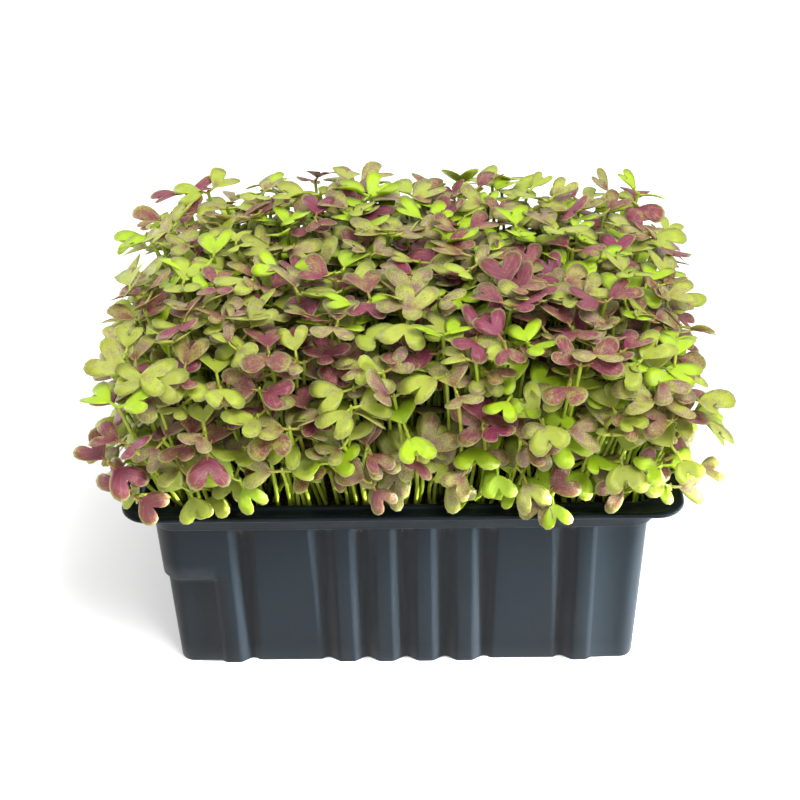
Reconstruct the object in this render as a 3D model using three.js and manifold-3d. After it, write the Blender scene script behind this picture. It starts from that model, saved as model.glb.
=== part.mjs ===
// Microgreens tray: a fluted plastic punnet, the slab of growing medium that fills it, and bunches of
// radish-like seedlings that stand in plain holes in the medium. Millimetres, +Z up, the origin at the
// centre of the tray's underside, the long side along X, the side with the lug on its left facing -Y.
import * as THREE from 'three';
import { mergeVertices } from 'three/addons/utils/BufferGeometryUtils.js';
import Module from 'manifold-3d';

// Tray: overall sizes
const RIM_LENGTH = 180;
const RIM_WIDTH = 140;
const TRAY_HEIGHT = 72;
const WALL = 1.2;
const FLOOR = 1.6;
const COLLAR_HEIGHT = 11.2;

// Tray: how far the collar and the wall stand in from the outer edge of the flange
const WALL_INSET_TOP = 8.7;
const WALL_INSET_BOTTOM = 10.7;
const COLLAR_STEP = 0.3;
const RIM_RADIUS = 9;
const WALL_RADIUS = 7.5;
const FOOT_RADIUS = 6;
const FOOT_ROUND = 1.2;
const LEDGE = 0.4;
const MOUTH_INSET = 8;

// Section of the flange from the collar out under the lip, over it and in across the channel to the bead:
// inwards from the flange's outer edge, and down from the rim's top
const FLANGE_SECTION = [
  [7.0, 2.0],
  [1.2, 2.0],
  [0.0, 1.4],
  [0.0, 0.5],
  [0.7, 0.0],
  [1.6, 0.0],
  [2.6, 0.9],
  [5.6, 0.9],
  [6.4, 0.1],
  [7.4, 0.1],
];

// Tray: relief of the walls, measured inwards from the crests
const GROOVE_DEPTH = 2.2;
const GROOVE_HALF_WIDTH = 4.5;
const GROOVE_FLOOR_HALF = 2.1;
const GROOVE_PITCH = 13.4;
const GROOVE_RUN_OUT = 5;
const GROOVE_ROUNDING = 2;
const PANEL_DEPTH = 1.3;
const OUTER_GROOVE_OFFSET = 52.7;
const OUTER_GROOVE_OFFSET_SHORT = 35;
const CREST_WIDTH = 3.8;
const FLANK_WIDTH = 3;
const CORNER_DEPTH = 1.4;
const LUG_HEIGHT = 22;
const LUG_THICKNESS = 2.2;

// Growing medium
const MEDIUM_TOP = 66;
const SHOULDER = 2.4;
const CLEARANCE = 0.35;
const BUNCH_INSET = 9;
const PLUG_RADIUS = 4.4;
const PLUG_DEPTH = 9;
const PLUG_RISE = 1.6;
const PLUG_SIDES = 5;

// Grid that every corner is snapped to
const SNAP = 0.001;

// Seedlings
const CELLS_X = 6;
const CELLS_Y = 5;
const EDGE_SEEDLINGS = 4;
const INNER_SEEDLINGS = 3;
const CANOPY_LENGTH = 170;
const CANOPY_WIDTH = 128;
const CANOPY_TOP = 125;
const CANOPY_EDGE_DROP = 7;
const HEAD_DROP = 10;
const EDGE_HEAD_DROP = 42;
const STEM_RADIUS = 0.75;
const STALK_HALF_WIDTH = 0.8;
const BLADE_THICKNESS = 0.75;
const LEAF_LENGTH = 9.4;
const LEAF_SPREAD = 1.24;
const STALK_LENGTH = 4.6;
const MIN_GAP = 2.9;
const RIM_CLEARANCE = 1.6;
const ROOT_ZONE = 16;
const TRIES = 300;
const SINK_WHEN_CROWDED = 16;
const SEED = 19;

const COLOURS = {
  tray: { color: 0x33424a, roughness: 0.38 },
  medium: { color: 0x3a2c20, roughness: 0.95 },
  olive: { color: 0x8f9a58, roughness: 0.6 },
  purple: { color: 0x84485c, roughness: 0.6 },
  lime: { color: 0x8fc02a, roughness: 0.55 },
};

const wasm = await Module();
wasm.setup();

// Solids

function solidOf(geometry) {
  const bare = geometry.clone();
  bare.deleteAttribute('normal');
  bare.deleteAttribute('uv');
  const merged = mergeVertices(bare, 1e-4);
  return new wasm.Manifold(new wasm.Mesh({
    numProp: 3,
    vertProperties: new Float32Array(merged.attributes.position.array),
    triVerts: new Uint32Array(merged.index.array),
  }));
}

// A solid's skin, with its corners snapped to a fine grid and the slivers that this closes left out
function geometryOf(solid) {
  const mesh = solid.getMesh();
  const geometry = new THREE.BufferGeometry();
  const snapped = Float32Array.from(mesh.vertProperties, (value) => Math.round(value / SNAP) * SNAP);
  geometry.setAttribute('position', new THREE.BufferAttribute(snapped, 3));
  geometry.setIndex(new THREE.BufferAttribute(new Uint32Array(mesh.triVerts), 1));
  const welded = mergeVertices(geometry, SNAP / 10);
  const corners = Array.from(welded.index.array);
  const kept = [];
  for (let i = 0; i < corners.length; i += 3) {
    const [a, b, c] = corners.slice(i, i + 3);
    if (a !== b && b !== c && c !== a) {
      kept.push(a, b, c);
    }
  }
  welded.setIndex(kept);
  welded.computeVertexNormals();
  return welded;
}

function geometryFrom(points, triangles) {
  const geometry = new THREE.BufferGeometry();
  geometry.setAttribute('position', new THREE.Float32BufferAttribute(points.flatMap((p) => p.toArray()), 3));
  geometry.setIndex(triangles.flat());
  return geometry;
}

// A closed skin over rings of equal count, each anticlockwise seen from above and listed upwards. The first
// and last rings are capped.
function loft(rings) {
  const count = rings[0].length;
  const triangles = [];
  for (let level = 0; level + 1 < rings.length; level += 1) {
    for (let i = 0; i < count; i += 1) {
      const a = level * count + i;
      const b = level * count + ((i + 1) % count);
      triangles.push([a, b, b + count], [a, b + count, a + count]);
    }
  }
  const capOf = (ring) => THREE.ShapeUtils.triangulateShape(ring.map((p) => new THREE.Vector2(p.x, p.y)), []);
  const last = (rings.length - 1) * count;
  capOf(rings[0]).forEach(([a, b, c]) => triangles.push([a, c, b]));
  capOf(rings[rings.length - 1]).forEach(([a, b, c]) => triangles.push([last + a, last + b, last + c]));
  return geometryFrom(rings.flat(), triangles);
}

// Outline of a rectangle with round corners, anticlockwise from the right end of the front side
function roundedRectangle(halfX, halfY, radius, z, steps = 3) {
  const points = [];
  const corners = [[1, -1, -90], [1, 1, 0], [-1, 1, 90], [-1, -1, 180]];
  corners.forEach(([sx, sy, start]) => {
    for (let i = 0; i <= steps; i += 1) {
      const angle = THREE.MathUtils.degToRad(start + (90 * i) / steps);
      points.push(new THREE.Vector3(
        sx * (halfX - radius) + radius * Math.cos(angle),
        sy * (halfY - radius) + radius * Math.sin(angle),
        z,
      ));
    }
  });
  return points;
}

// Tray

// Breaks of one side's relief from its middle to its right end: where each lies, and how much of the groove,
// the wide panel and the corner recess it has
function halfRelief(outerGroove, innerGrooves) {
  const breaks = [];
  const groove = (centre, startPanel, endPanel) => {
    breaks.push([centre - GROOVE_HALF_WIDTH, 0, startPanel, 0]);
    breaks.push([centre - GROOVE_FLOOR_HALF, 1, 0, 0]);
    breaks.push([centre + GROOVE_FLOOR_HALF, 1, 0, 0]);
    breaks.push([centre + GROOVE_HALF_WIDTH, 0, endPanel, 0]);
  };
  for (let i = 1; i <= innerGrooves; i += 1) {
    groove(i * GROOVE_PITCH, 0, i === innerGrooves ? 1 : 0);
  }
  groove(outerGroove, 1, 0);
  const crestEnd = outerGroove + GROOVE_HALF_WIDTH + CREST_WIDTH;
  breaks.push([crestEnd, 0, 0, 0], [crestEnd + FLANK_WIDTH, 0, 0, 1]);
  return breaks;
}

function sideRelief(outerGroove, innerGrooves) {
  const right = halfRelief(outerGroove, innerGrooves);
  const left = right.map(([u, ...amounts]) => [-u, ...amounts]).reverse();
  const middle = [
    [-GROOVE_HALF_WIDTH, 0, 0, 0],
    [-GROOVE_FLOOR_HALF, 1, 0, 0],
    [GROOVE_FLOOR_HALF, 1, 0, 0],
    [GROOVE_HALF_WIDTH, 0, 0, 0],
  ];
  return [...left, ...middle, ...right];
}

const COLLAR_FOOT = TRAY_HEIGHT - COLLAR_HEIGHT;
const LONG_SIDE = sideRelief(OUTER_GROOVE_OFFSET, 2);
const SHORT_SIDE = sideRelief(OUTER_GROOVE_OFFSET_SHORT, 1);

// The drafted crest level: how far it stands in from the flange's outer edge at a height
function crestInset(z) {
  return THREE.MathUtils.lerp(WALL_INSET_BOTTOM, WALL_INSET_TOP, z / COLLAR_FOOT);
}

function wallRadius(z) {
  return THREE.MathUtils.lerp(FOOT_RADIUS, WALL_RADIUS, z / COLLAR_FOOT);
}

// One level of the fluted wall, moved in by extra. Grooves run out under the collar; panels lean in.
function wallRing(z, extra, outZ = z) {
  const grooves = GROOVE_DEPTH * THREE.MathUtils.clamp((COLLAR_FOOT - z) / GROOVE_RUN_OUT, 0, 1);
  const panels = PANEL_DEPTH * THREE.MathUtils.clamp(1 - z / COLLAR_FOOT, 0, 1);
  const inset = crestInset(Math.min(z, COLLAR_FOOT));
  const halfX = RIM_LENGTH / 2 - inset;
  const halfY = RIM_WIDTH / 2 - inset;
  const points = [];
  const side = (relief, half, turn) => {
    relief.forEach(([u, groove, panel, corner]) => {
      const depth = groove * grooves + panel * panels + corner * CORNER_DEPTH + extra;
      const point = new THREE.Vector3(u, -(half - depth), outZ);
      points.push(point.applyAxisAngle(new THREE.Vector3(0, 0, 1), turn));
    });
  };
  const radius = wallRadius(z);
  const recess = CORNER_DEPTH + extra;
  const ends = roundedRectangle(halfX - recess, halfY - recess, Math.max(radius - extra, 1), outZ);
  side(LONG_SIDE, halfY, 0);
  points.push(...ends.slice(0, 4));
  side(SHORT_SIDE, halfX, Math.PI / 2);
  points.push(...ends.slice(4, 8));
  side(LONG_SIDE, halfY, Math.PI);
  points.push(...ends.slice(8, 12));
  side(SHORT_SIDE, halfX, -Math.PI / 2);
  points.push(...ends.slice(12, 16));
  return points;
}

// One ring of the flange or collar, a distance in from the flange's outer edge
function rimRing(inset, z, radius = RIM_RADIUS) {
  return roundedRectangle(RIM_LENGTH / 2 - inset, RIM_WIDTH / 2 - inset, radius, z);
}

function lugSolid(turn) {
  const level = (z) => {
    const halfX = RIM_LENGTH / 2 - crestInset(z);
    const halfY = RIM_WIDTH / 2 - crestInset(z);
    const outer = roundedRectangle(halfX, halfY, wallRadius(z), z).slice(12, 16);
    const startY = -(OUTER_GROOVE_OFFSET_SHORT + GROOVE_HALF_WIDTH + CREST_WIDTH / 2);
    const endX = -(OUTER_GROOVE_OFFSET + GROOVE_HALF_WIDTH + CREST_WIDTH / 2);
    return [
      new THREE.Vector3(-halfX, startY, z),
      ...outer,
      new THREE.Vector3(endX, -halfY, z),
      new THREE.Vector3(endX, -halfY + LUG_THICKNESS, z),
      new THREE.Vector3(-halfX + WALL_RADIUS, -halfY + LUG_THICKNESS, z),
      new THREE.Vector3(-halfX + LUG_THICKNESS, -halfY + WALL_RADIUS, z),
      new THREE.Vector3(-halfX + LUG_THICKNESS, startY, z),
    ];
  };
  const geometry = loft([level(COLLAR_FOOT - LUG_HEIGHT), level(COLLAR_FOOT - 0.01)]);
  return solidOf(geometry.rotateZ(turn));
}

function trayGeometry() {
  const runOut = COLLAR_FOOT - GROOVE_RUN_OUT;
  const rounding = COLLAR_FOOT - GROOVE_ROUNDING;
  const body = solidOf(loft([
    wallRing(0, FOOT_ROUND, 0),
    wallRing(FOOT_ROUND, 0),
    wallRing(runOut, 0),
    wallRing(rounding, 0),
    wallRing(COLLAR_FOOT, 0, COLLAR_FOOT + 1),
  ]));
  const flange = solidOf(loft([
    rimRing(WALL_INSET_TOP - COLLAR_STEP, COLLAR_FOOT, WALL_RADIUS),
    ...FLANGE_SECTION.map(([inset, drop]) => rimRing(inset, TRAY_HEIGHT - drop)),
  ]));
  const hollow = solidOf(loft([
    wallRing(FLOOR, WALL),
    wallRing(runOut, WALL),
    wallRing(rounding, WALL),
    wallRing(COLLAR_FOOT, WALL, COLLAR_FOOT + 0.5),
  ]));
  const mouth = solidOf(loft([
    rimRing(WALL_INSET_TOP + WALL - LEDGE, COLLAR_FOOT, WALL_RADIUS),
    rimRing(MOUTH_INSET, TRAY_HEIGHT - LEDGE, WALL_RADIUS),
    rimRing(MOUTH_INSET - LEDGE, TRAY_HEIGHT + 1, WALL_RADIUS),
  ]));
  const outside = body.add(flange).add(lugSolid(0)).add(lugSolid(Math.PI));
  return geometryOf(outside.subtract(hollow).subtract(mouth));
}

// Growing medium

function bunchCentres() {
  const inset = WALL_INSET_TOP + WALL + BUNCH_INSET;
  const pitchX = (RIM_LENGTH - 2 * inset) / (CELLS_X - 1);
  const pitchY = (RIM_WIDTH - 2 * inset) / (CELLS_Y - 1);
  const centres = [];
  for (let row = 0; row < CELLS_Y; row += 1) {
    for (let column = 0; column < CELLS_X; column += 1) {
      centres.push({
        row,
        column,
        x: (column - (CELLS_X - 1) / 2) * pitchX,
        y: (row - (CELLS_Y - 1) / 2) * pitchY,
        edge: row === 0 || column === 0 || row === CELLS_Y - 1 || column === CELLS_X - 1,
      });
    }
  }
  return centres;
}

function plugSolid(centre, radius, bottom, top) {
  const ring = (z, r) => Array.from({ length: PLUG_SIDES }, (_, i) => {
    const angle = (2 * Math.PI * i) / PLUG_SIDES;
    return new THREE.Vector3(centre.x + r * Math.cos(angle), centre.y + r * Math.sin(angle), z);
  });
  return solidOf(loft([ring(bottom, radius * 0.8), ring(top, radius)]));
}

function mediumGeometry(centres) {
  const ridge = GROOVE_DEPTH + WALL + CLEARANCE;
  const shoulderFoot = MEDIUM_TOP - SHOULDER;
  const shoulderInset = WALL_INSET_TOP + WALL + CLEARANCE - LEDGE;
  let slab = solidOf(loft([
    rimRing(crestInset(0) + ridge, FLOOR + CLEARANCE, FOOT_RADIUS),
    rimRing(crestInset(COLLAR_FOOT) + ridge, shoulderFoot, WALL_RADIUS - 1),
    rimRing(shoulderInset, shoulderFoot, WALL_RADIUS),
    rimRing(shoulderInset, MEDIUM_TOP, WALL_RADIUS),
  ]));
  centres.forEach((centre) => {
    slab = slab.subtract(plugSolid(centre, PLUG_RADIUS, MEDIUM_TOP - PLUG_DEPTH, MEDIUM_TOP + 0.001));
  });
  return geometryOf(slab);
}

// Seedlings

function randomFrom(seed) {
  let state = seed >>> 0;
  return () => {
    state = (state + 0x6d2b79f5) >>> 0;
    let t = state;
    t = Math.imul(t ^ (t >>> 15), t | 1);
    t ^= t + Math.imul(t ^ (t >>> 7), t | 61);
    return ((t ^ (t >>> 14)) >>> 0) / 4294967296;
  };
}

const random = randomFrom(SEED);
const between = (low, high) => low + (high - low) * random();

// Half outline of a notched leaf, from the stalk's end to the notch: along and across, as shares of its length
const LEAF_OUTLINE = [
  [0, 0.09],
  [0.34, 0.42],
  [0.7, 0.52],
  [0.98, 0.3],
  [0.7, 0],
];
const LEAF_POINTS = 2 * LEAF_OUTLINE.length - 1;

// The leaf's points in its own frame: along X from the stem's top, across Y, folded up along its midline and
// bent down towards its tip
function leafPoints(leaf) {
  const { length, fold, droop, matrix } = leaf;
  const place = ([along, across], side) => {
    const x = STALK_LENGTH + along * length;
    const y = side * across * length * LEAF_SPREAD;
    const z = Math.abs(y) * fold - (along * along * length) * droop;
    return new THREE.Vector3(x, y, z).applyMatrix4(matrix);
  };
  const right = LEAF_OUTLINE.map((share) => place(share, -1));
  const left = LEAF_OUTLINE.slice(0, -1).map((share) => place(share, 1));
  return [...right, ...left.reverse()];
}

// Both leaves of a seedling as one blade: two leaf outlines joined through the stem's top
function pairGeometry(seedling) {
  const [first, second] = seedling.leaves;
  const across = new THREE.Vector3(-Math.sin(first.azimuth), Math.cos(first.azimuth), 0);
  const top = [
    seedling.head.clone().addScaledVector(across, -STALK_HALF_WIDTH),
    ...leafPoints(first),
    seedling.head.clone().addScaledVector(across, STALK_HALF_WIDTH),
    ...leafPoints(second),
  ];
  const down = (leaf) => new THREE.Vector3(0, 0, -BLADE_THICKNESS).transformDirection(leaf.matrix)
    .multiplyScalar(BLADE_THICKNESS);
  const middle = new THREE.Vector3(0, 0, -BLADE_THICKNESS);
  const offsets = [
    middle,
    ...Array(LEAF_POINTS).fill(down(first)),
    middle,
    ...Array(LEAF_POINTS).fill(down(second)),
  ];
  const bottom = top.map((point, i) => point.clone().add(offsets[i]));
  const half = (right, foot, left) => {
    const end = foot + LEAF_POINTS - 1;
    const notch = foot + LEAF_OUTLINE.length - 1;
    const fan = [[right, foot, end], [right, end, left], [foot, notch, end]];
    for (let i = foot; i < end; i += 1) {
      if (i !== notch && i + 1 !== notch) {
        fan.push([i, i + 1, notch]);
      }
    }
    return fan;
  };
  const faces = [...half(0, 1, LEAF_POINTS + 1), ...half(LEAF_POINTS + 1, LEAF_POINTS + 2, 0)];
  const count = top.length;
  const under = faces.map(([a, b, c]) => [a + count, c + count, b + count]);
  const rim = top.flatMap((_, i) => {
    const next = (i + 1) % count;
    return [[i, i + count, next + count], [i, next + count, next]];
  });
  return geometryFrom([...top, ...bottom], [...faces, ...under, ...rim]);
}

function stemPoint(seedling, t) {
  const { root, head, bow } = seedling;
  const point = root.clone().lerp(head, t);
  point.x += bow.x * 4 * t * (1 - t);
  point.y += bow.y * 4 * t * (1 - t);
  return point;
}

function stemGeometry(seedling) {
  const ring = (t, radius, drop) => [0, 1, 2].map((i) => {
    const angle = seedling.leaves[0].azimuth + (2 * Math.PI * i) / 3;
    const point = stemPoint(seedling, t);
    return new THREE.Vector3(
      point.x + radius * Math.cos(angle),
      point.y + radius * Math.sin(angle),
      point.z - drop,
    );
  });
  return loft([
    ring(0, STEM_RADIUS * 1.2, 0),
    ring(0.5, STEM_RADIUS, 0),
    ring(1, STEM_RADIUS * 0.8, BLADE_THICKNESS / 2),
  ]);
}

// Points on a seedling that keep their distance from its neighbours': along the stem and over both leaves
function probes(seedling) {
  const points = [];
  for (let t = 0.02; t < 1; t += 0.035) {
    points.push(stemPoint(seedling, t));
  }
  seedling.leaves.forEach((leaf) => {
    const outline = leafPoints(leaf);
    const notch = outline[LEAF_OUTLINE.length - 1];
    const foot = outline[0].clone().add(outline[LEAF_POINTS - 1]).multiplyScalar(0.5);
    points.push(foot.clone().lerp(seedling.head, 0.5), foot, notch, foot.clone().lerp(notch, 0.5));
    outline.slice(1, -1).forEach((point, i, list) => {
      points.push(point, point.clone().lerp(foot.clone().lerp(notch, 0.6), 0.5));
      if (i + 1 < list.length) {
        points.push(point.clone().lerp(list[i + 1], 0.5));
      }
    });
  });
  return points;
}

// True where a seedling keeps its distance from those already placed. Seedlings of one bunch may touch near
// their roots.
function hasRoom(cloud) {
  const near = placed.filter((other) => other.centre.distanceTo(cloud.centre) < other.reach + cloud.reach);
  return near.every((other) => {
    const kin = other.bunch === cloud.bunch;
    const points = kin ? cloud.list.filter((p) => p.z > MEDIUM_TOP + ROOT_ZONE) : cloud.list;
    return points.every((p) => other.list.every((q) => p.distanceTo(q) > MIN_GAP));
  });
}

// True where a seedling's solid crosses none of the other bunches'
function isSeparate(solid, cloud) {
  return placed.every((other) => other.bunch === cloud.bunch
    || other.centre.distanceTo(cloud.centre) > other.reach + cloud.reach
    || other.solid.intersect(solid).isEmpty());
}

// True where nothing of a seedling comes near the tray: below the rim it stays within the mouth
function clearOfTray(list) {
  const mouthX = RIM_LENGTH / 2 - MOUTH_INSET - RIM_CLEARANCE;
  const mouthY = RIM_WIDTH / 2 - MOUTH_INSET - RIM_CLEARANCE;
  return list.every((p) => p.z > TRAY_HEIGHT + RIM_CLEARANCE || (Math.abs(p.x) < mouthX && Math.abs(p.y) < mouthY));
}

function probeCloud(seedling, bunch) {
  const list = probes(seedling);
  const box = new THREE.Box3().setFromPoints(list);
  const centre = box.getCenter(new THREE.Vector3());
  return { list, centre, bunch, reach: box.getSize(new THREE.Vector3()).length() / 2 + 1.5 };
}

// The canopy's height over a point of the plan: flat in the middle, rounded down at the edges
function canopyHeight(x, y) {
  const ex = Math.abs(x) / (CANOPY_LENGTH / 2);
  const ey = Math.abs(y) / (CANOPY_WIDTH / 2);
  return CANOPY_TOP - CANOPY_EDGE_DROP * (ex ** 4 + ey ** 4);
}

function leafAt(head, azimuth) {
  const pitch = between(0.12, 0.62);
  const roll = between(-0.3, 0.3);
  const matrix = new THREE.Matrix4().makeTranslation(head.x, head.y, head.z);
  matrix.multiply(new THREE.Matrix4().makeRotationZ(azimuth));
  matrix.multiply(new THREE.Matrix4().makeRotationY(-pitch));
  matrix.multiply(new THREE.Matrix4().makeRotationX(roll));
  return {
    azimuth,
    matrix,
    length: LEAF_LENGTH * between(0.88, 1.16),
    fold: between(0.12, 0.42),
    droop: between(0.25, 0.75),
  };
}

// A seedling of a bunch: its share of the bunch's cell in the canopy, lower ones hanging out at the edge.
// The longer the search for a free place takes, the further it strays and sinks.
function drawSeedling(centre, index, count, patience) {
  const spreadX = CANOPY_LENGTH / (2 * Math.abs(centres[0].x) + 24);
  const spreadY = CANOPY_WIDTH / (2 * Math.abs(centres[0].y) + 24);
  const turn = (2 * Math.PI * (index + centre.column * 0.37 + centre.row * 0.61)) / count;
  const ring = count === INNER_SEEDLINGS ? 8 : 10;
  const stray = 3 + 5 * patience;
  const x = (centre.x + ring * Math.cos(turn) + between(-stray, stray)) * spreadX;
  const y = (centre.y + ring * Math.sin(turn) + between(-stray, stray)) * spreadY;
  const outX = Math.abs(x) / (CANOPY_LENGTH / 2);
  const outY = Math.abs(y) / (CANOPY_WIDTH / 2);
  const out = Math.max(outX, outY);
  const low = out > 0.84 ? between(0, EDGE_HEAD_DROP) * (index % 2) : between(0, HEAD_DROP);
  const head = new THREE.Vector3(x, y, canopyHeight(x, y) - low - patience * SINK_WHEN_CROWDED);
  const azimuth = between(0, 2 * Math.PI);
  const footTurn = turn + between(-0.3, 0.3);
  const foot = PLUG_RADIUS * 0.62;
  return {
    root: new THREE.Vector3(
      centre.x + foot * Math.cos(footTurn),
      centre.y + foot * Math.sin(footTurn),
      MEDIUM_TOP + PLUG_RISE * 0.4,
    ),
    head,
    bow: new THREE.Vector2(between(-2, 2) - x * 0.012, between(-2, 2) - y * 0.012),
    leaves: [leafAt(head, azimuth), leafAt(head, azimuth + Math.PI + between(-0.35, 0.35))],
  };
}

const placed = [];

function bunchGeometry(centre, bunch) {
  const top = MEDIUM_TOP + PLUG_RISE;
  let solid = plugSolid(centre, PLUG_RADIUS - CLEARANCE, MEDIUM_TOP - PLUG_DEPTH + CLEARANCE, top);
  const count = centre.edge ? EDGE_SEEDLINGS : INNER_SEEDLINGS;
  for (let index = 0; index < count; index += 1) {
    for (let attempt = 0; attempt < TRIES; attempt += 1) {
      const seedling = drawSeedling(centre, index, count, attempt / TRIES);
      const cloud = probeCloud(seedling, bunch);
      if (clearOfTray(cloud.list) && hasRoom(cloud)) {
        cloud.solid = solidOf(stemGeometry(seedling)).add(solidOf(pairGeometry(seedling)));
        if (isSeparate(cloud.solid, cloud)) {
          placed.push(cloud);
          solid = solid.add(cloud.solid);
          break;
        }
      }
    }
  }
  return geometryOf(solid);
}

// Assembly

const group = new THREE.Group();

function addPiece(name, geometry, look) {
  const material = new THREE.MeshStandardMaterial({ metalness: 0, side: THREE.FrontSide, ...look });
  const mesh = new THREE.Mesh(geometry, material);
  mesh.name = name;
  group.add(mesh);
}

const centres = bunchCentres();
addPiece('tray', trayGeometry(), COLOURS.tray);
addPiece('growing_medium', mediumGeometry(centres), COLOURS.medium);

// Leaf colours of the bunches, mixed in the shares seen in the tray
const VARIETIES = ['olive', 'purple', 'olive', 'lime', 'olive', 'purple', 'olive'];

centres.forEach((centre, bunch) => {
  const variety = VARIETIES[(centre.row * 3 + centre.column * 2 + (centre.row % 2)) % VARIETIES.length];
  const name = `seedlings_${variety}_r${centre.row + 1}_c${centre.column + 1}`;
  addPiece(name, bunchGeometry(centre, bunch), COLOURS[variety]);
});

export default group;
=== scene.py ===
import math

import bmesh
import bpy
import numpy as np
from mathutils import Matrix, Vector, noise


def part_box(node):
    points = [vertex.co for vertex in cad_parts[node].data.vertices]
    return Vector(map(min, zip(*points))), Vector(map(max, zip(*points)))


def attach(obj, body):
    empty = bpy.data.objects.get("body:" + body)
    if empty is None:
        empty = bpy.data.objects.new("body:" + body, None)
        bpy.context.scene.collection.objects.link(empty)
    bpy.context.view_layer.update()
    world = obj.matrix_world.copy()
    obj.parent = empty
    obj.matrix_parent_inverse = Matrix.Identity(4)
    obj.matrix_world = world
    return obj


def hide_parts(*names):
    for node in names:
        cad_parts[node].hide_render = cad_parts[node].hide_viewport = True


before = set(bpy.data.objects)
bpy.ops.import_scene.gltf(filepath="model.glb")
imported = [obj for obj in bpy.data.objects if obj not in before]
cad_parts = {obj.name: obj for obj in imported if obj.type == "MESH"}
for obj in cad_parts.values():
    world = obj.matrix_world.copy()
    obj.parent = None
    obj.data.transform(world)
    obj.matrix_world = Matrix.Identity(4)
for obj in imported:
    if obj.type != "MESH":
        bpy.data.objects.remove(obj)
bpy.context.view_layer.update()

# Lengths are written in millimetres and turned to metres where a mesh is made
MM = 0.001

# Tray
RIM_LENGTH = 180
RIM_WIDTH = 140
TRAY_HEIGHT = 72
COLLAR_HEIGHT = 11.2
COLLAR_FOOT = TRAY_HEIGHT - COLLAR_HEIGHT
WALL = 1.2
FLOOR = 1.6
WALL_INSET_TOP = 8.7
WALL_INSET_BOTTOM = 10.7
RIM_RADIUS = 9
WALL_RADIUS = 7.5
FOOT_RADIUS = 6
FOOT_ROUND = 1.2
MOUTH_INSET = 8
GROOVE_DEPTH = 2.2
GROOVE_FULLNESS = 1.1
GROOVE_HALF_WIDTH = 4.8
GROOVE_PITCH = 13.4
GROOVE_RUN_OUT = 3.2
PANEL_DEPTH = 1.3
OUTER_GROOVE_OFFSET = 52.7
OUTER_GROOVE_OFFSET_SHORT = 35
CREST_WIDTH = 3.8
FLANK_WIDTH = 3
CORNER_DEPTH = 1.4
LUG_FOOT = COLLAR_FOOT - 22

# Growing medium and the bunches that stand in it
MEDIUM_TOP = 66
MEDIUM_CLEARANCE = 0.35
MEDIUM_RINGS = 40
BUNCH_INSET = 9
PLUG_RADIUS = 4.4
PLUG_RISE = 1.6

# Seedlings
CELLS_X = 6
CELLS_Y = 5
EDGE_SEEDLINGS = 4
INNER_SEEDLINGS = 3
CANOPY_LENGTH = 170
CANOPY_WIDTH = 128
CANOPY_TOP = 125
CANOPY_EDGE_DROP = 7
HEAD_DROP = 10
EDGE_HEAD_DROP = 42
STALK_LENGTH = 4.6
LEAF_LENGTH = 9.4
LEAF_SPREAD = 1.24
MIN_GAP = 2.9
NOTHING_NEAR = 100.0
RIM_CLEARANCE = 1.6
ROOT_ZONE = 16
TRIES = 300
SINK_WHEN_CROWDED = 16
SEED = 19
VARIETIES = ["olive", "purple", "olive", "lime", "olive", "purple", "olive"]

# Camera: fitted to the rim, the foot and the seedlings' height in the photo's 800 pixel frame
FRAME_PIXELS = 800
FOCAL_PIXELS = 1700
SENSOR = 36
CAMERA_TARGET = (-1.3, 0.0, 69.1)
CAMERA_DISTANCE = 596
CAMERA_ELEVATION = math.radians(34.5)
CAMERA_YAW = math.radians(-1.38)
CAMERA_ROLL = math.radians(1.46)


def add_camera():
    """The camera looks down on the tray's front, a little turned and rolled as in the photo."""
    turn = Matrix.Rotation(-CAMERA_YAW, 3, "Z")
    forward = turn @ Vector((0, math.cos(CAMERA_ELEVATION), -math.sin(CAMERA_ELEVATION)))
    level = turn @ Vector((1, 0, 0))
    upright = level.cross(forward)
    right = math.cos(CAMERA_ROLL) * level - math.sin(CAMERA_ROLL) * upright
    up = math.sin(CAMERA_ROLL) * level + math.cos(CAMERA_ROLL) * upright
    data = bpy.data.cameras.new("camera")
    data.sensor_width = SENSOR
    data.lens = SENSOR * FOCAL_PIXELS / FRAME_PIXELS
    data.clip_end = 20
    camera = bpy.data.objects.new("camera", data)
    bpy.context.collection.objects.link(camera)
    place = (Vector(CAMERA_TARGET) - forward * CAMERA_DISTANCE) * MM
    camera.matrix_world = Matrix.Translation(place) @ Matrix((right, up, -forward)).transposed().to_4x4()
    bpy.context.scene.camera = camera


add_camera()


# Colour and shader helpers

def linear(hex_colour, alpha=1.0):
    """An sRGB hex colour as linear red, green, blue and alpha."""
    values = [int(hex_colour[i:i + 2], 16) / 255 for i in (1, 3, 5)]
    return [v / 12.92 if v <= 0.04045 else ((v + 0.055) / 1.055) ** 2.4 for v in values] + [alpha]


def add_node(material, kind, settings=None, **links):
    """Adds a shader node. settings are its properties or sockets. links name the outputs that feed it:
    a socket's name, or i and its number."""
    node = material.node_tree.nodes.new(kind)
    for name, value in (settings or {}).items():
        if isinstance(name, str) and hasattr(node, name):
            setattr(node, name, value)
        else:
            node.inputs[name].default_value = value
    for name, output in links.items():
        key = int(name[1:]) if name[1:].isdigit() else name.replace("_", " ")
        material.node_tree.links.new(output, node.inputs[key])
    return node


def new_material(name, **settings):
    """A material with one Principled shader, and that shader."""
    material = bpy.data.materials.new(name)
    material.use_nodes = True
    shader = material.node_tree.nodes["Principled BSDF"]
    for socket, value in settings.items():
        shader.inputs[socket.replace("_", " ")].default_value = value
    return material, shader


def per_mm(size):
    """The scale that gives a pattern on Object coordinates features of about this size in millimetres."""
    return 1 / (size * MM)


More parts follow.
